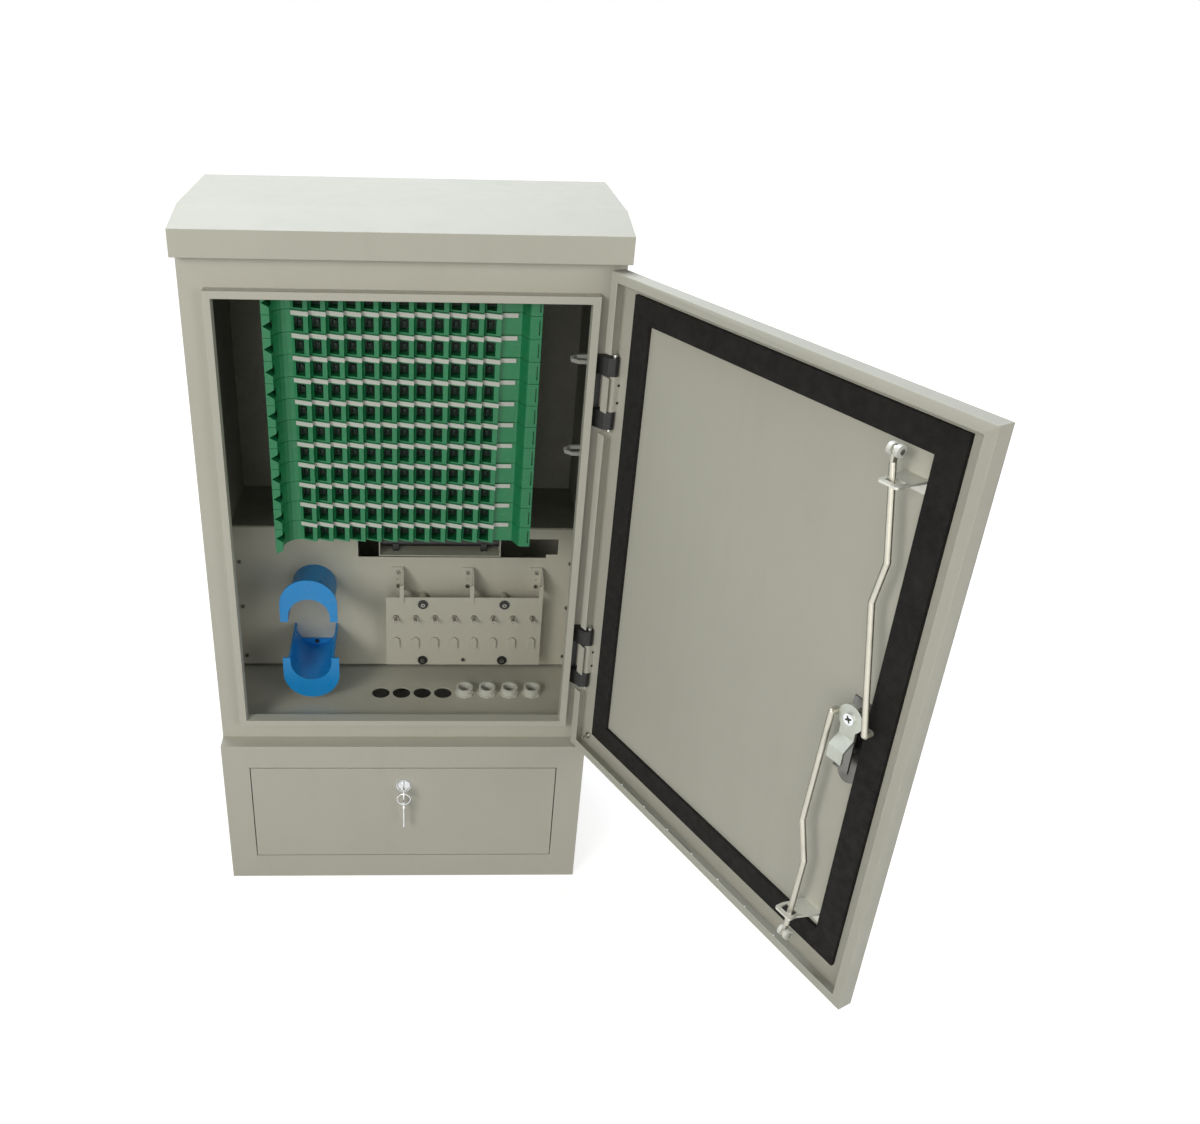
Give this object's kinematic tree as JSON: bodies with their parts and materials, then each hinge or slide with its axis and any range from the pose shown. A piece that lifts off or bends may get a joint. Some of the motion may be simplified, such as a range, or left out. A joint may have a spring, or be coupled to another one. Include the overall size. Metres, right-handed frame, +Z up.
{
  "type": "roadside fibre cross-connect cabinet",
  "caption": "Floor-standing outdoor fibre cabinet on a plinth, door open, with a stack of sliding splice trays, fibre spools, cable board and a rod lock.",
  "frame": {"origin": "on the ground at the middle of the plinth's foot", "axes": "+Z up, the door opening faces -Y, +X towards the hinge side"},
  "size_m": [0.8017, 0.819, 1.043],
  "materials": {
    "cabinet_paint": "powder coat",
    "lining": "matte",
    "black_plastic": "matte",
    "black_paint": "satin",
    "gasket": "matte",
    "blue_plastic": "satin",
    "white_plastic": "satin",
    "grey_plastic": "satin",
    "green_plastic": "satin",
    "bright_metal": "bright",
    "zinc_steel": "zinc plated"
  },
  "bodies": {
    "cabinet": {"plinth_box": "cabinet_paint", "cabinet_shell": "cabinet_paint", "front_frame": "cabinet_paint", "floor_plate": "cabinet_paint", "roof_cap": "cabinet_paint", "roof_rails": "cabinet_paint", "lining_left": "lining", "lining_right": "lining", "lining_back": "lining", "lining_shelf": "lining", "rear_shelf": "cabinet_paint", "mounting_plate": "cabinet_paint", "inside_screws": "zinc_steel", "tray_rack": "zinc_steel", "clamp_hanger": "cabinet_paint", "cable_clamp": "black_plastic", "spool_upper": "blue_plastic", "spool_lower": "blue_plastic", "cable_board": "cabinet_paint", "board_posts": "black_plastic", "board_brackets": "cabinet_paint", "clamp_studs": "zinc_steel", "entry_tubes": "white_plastic", "fibre_guides": "grey_plastic", "hinge_brackets": "black_paint", "hinge_pins": "zinc_steel"},
    "door": {"door_pan": "cabinet_paint", "door_gasket": "gasket", "door_stud": "zinc_steel", "hinge_leaves": "cabinet_paint", "hinge_screws": "black_paint", "rod_guides": "zinc_steel", "lock_housing": "zinc_steel"},
    "lock": {"lock_cam": "zinc_steel", "lock_screw": "zinc_steel", "door_handle": "black_paint"},
    "upper_bolt": {"rod_upper": "zinc_steel", "axle_upper": "zinc_steel"},
    "lower_bolt": {"rod_lower": "zinc_steel", "axle_lower": "zinc_steel"},
    "upper_wheels": {"rollers_upper": "white_plastic"},
    "lower_wheels": {"rollers_lower": "white_plastic"},
    "cover": {"plinth_cover": "cabinet_paint", "cover_lock_barrel": "bright_metal"},
    "cover_lock": {"cover_lock_plug": "bright_metal", "cover_key": "bright_metal"},
    "hanging_key": {"key_ring": "bright_metal", "spare_key": "bright_metal"},
    "tray_01": {"splice_tray_01": "green_plastic"},
    "tray_02": {"splice_tray_02": "green_plastic"},
    "tray_03": {"splice_tray_03": "green_plastic"},
    "tray_04": {"splice_tray_04": "green_plastic"},
    "tray_05": {"splice_tray_05": "green_plastic"},
    "tray_06": {"splice_tray_06": "green_plastic"},
    "tray_07": {"splice_tray_07": "green_plastic"},
    "tray_08": {"splice_tray_08": "green_plastic"},
    "tray_09": {"splice_tray_09": "green_plastic"},
    "tray_10": {"splice_tray_10": "green_plastic"},
    "tray_11": {"splice_tray_11": "green_plastic"},
    "tray_12": {"splice_tray_12": "green_plastic"}
  },
  "joints": [
    {"name": "door_swing", "type": "hinge", "parent": "cabinet", "child": "door", "pos_m": [0.267, -0.153, 0.625], "axis": [0, 0, 1], "range_deg": [-117.5, 8]},
    {"name": "lock_turn", "type": "hinge", "parent": "door", "child": "lock", "pos_m": [0.47072, -0.57682, 0.637], "axis": [-0.887, -0.4617, 0], "range_deg": [0, 90]},
    {"name": "upper_rod_pivot", "type": "hinge", "parent": "lock", "child": "upper_bolt", "pos_m": [0.48222, -0.59891, 0.63482], "axis": [-0.887, -0.4617, 0], "range_deg": [-94.05, 0]},
    {"name": "lower_rod_pivot", "type": "hinge", "parent": "lock", "child": "lower_bolt", "pos_m": [0.46152, -0.55915, 0.63526], "axis": [-0.887, -0.4617, 0], "range_deg": [-94.77, 0]},
    {"name": "upper_roller_spin", "type": "hinge", "parent": "upper_bolt", "child": "upper_wheels", "pos_m": [0.45625, -0.56744, 0.934], "axis": [-0.4617, 0.887, 0], "continuous": true},
    {"name": "lower_roller_spin", "type": "hinge", "parent": "lower_bolt", "child": "lower_wheels", "pos_m": [0.45625, -0.56744, 0.316], "axis": [-0.4617, 0.887, 0], "continuous": true},
    {"name": "cover_tilt", "type": "hinge", "parent": "cabinet", "child": "cover", "pos_m": [0, -0.1585, 0.0495], "axis": [1, 0, 0], "range_deg": [0, 25]},
    {"name": "cover_lock_turn", "type": "hinge", "parent": "cover", "child": "cover_lock", "pos_m": [0, -0.162, 0.19], "axis": [0, 1, 0], "range_deg": [-90, 0]},
    {"name": "hanging_key_swing", "type": "hinge", "parent": "cover_lock", "child": "hanging_key", "pos_m": [0, -0.162, 0.18275], "axis": [0, 1, 0], "range_deg": [0, 90]},
    {"name": "tray_01_slide", "type": "slide", "parent": "cabinet", "child": "tray_01", "axis": [0, -1, 0], "range_m": [0, 0.11]},
    {"name": "tray_02_slide", "type": "slide", "parent": "cabinet", "child": "tray_02", "axis": [0, -1, 0], "range_m": [0, 0.11]},
    {"name": "tray_03_slide", "type": "slide", "parent": "cabinet", "child": "tray_03", "axis": [0, -1, 0], "range_m": [0, 0.11]},
    {"name": "tray_04_slide", "type": "slide", "parent": "cabinet", "child": "tray_04", "axis": [0, -1, 0], "range_m": [0, 0.11]},
    {"name": "tray_05_slide", "type": "slide", "parent": "cabinet", "child": "tray_05", "axis": [0, -1, 0], "range_m": [0, 0.11]},
    {"name": "tray_06_slide", "type": "slide", "parent": "cabinet", "child": "tray_06", "axis": [0, -1, 0], "range_m": [0, 0.11]},
    {"name": "tray_07_slide", "type": "slide", "parent": "cabinet", "child": "tray_07", "axis": [0, -1, 0], "range_m": [0, 0.11]},
    {"name": "tray_08_slide", "type": "slide", "parent": "cabinet", "child": "tray_08", "axis": [0, -1, 0], "range_m": [0, 0.11]},
    {"name": "tray_09_slide", "type": "slide", "parent": "cabinet", "child": "tray_09", "axis": [0, -1, 0], "range_m": [0, 0.11]},
    {"name": "tray_10_slide", "type": "slide", "parent": "cabinet", "child": "tray_10", "axis": [0, -1, 0], "range_m": [0, 0.11]},
    {"name": "tray_11_slide", "type": "slide", "parent": "cabinet", "child": "tray_11", "axis": [0, -1, 0], "range_m": [0, 0.11]},
    {"name": "tray_12_slide", "type": "slide", "parent": "cabinet", "child": "tray_12", "axis": [0, -1, 0], "range_m": [0, 0.11]}
  ],
  "couplings": [
    {"joint": "upper_rod_pivot", "follows": "lock_turn", "ratio": -1.045},
    {"joint": "lower_rod_pivot", "follows": "lock_turn", "ratio": -1.053},
    {"joint": "hanging_key_swing", "follows": "cover_lock_turn", "ratio": -1}
  ]
}
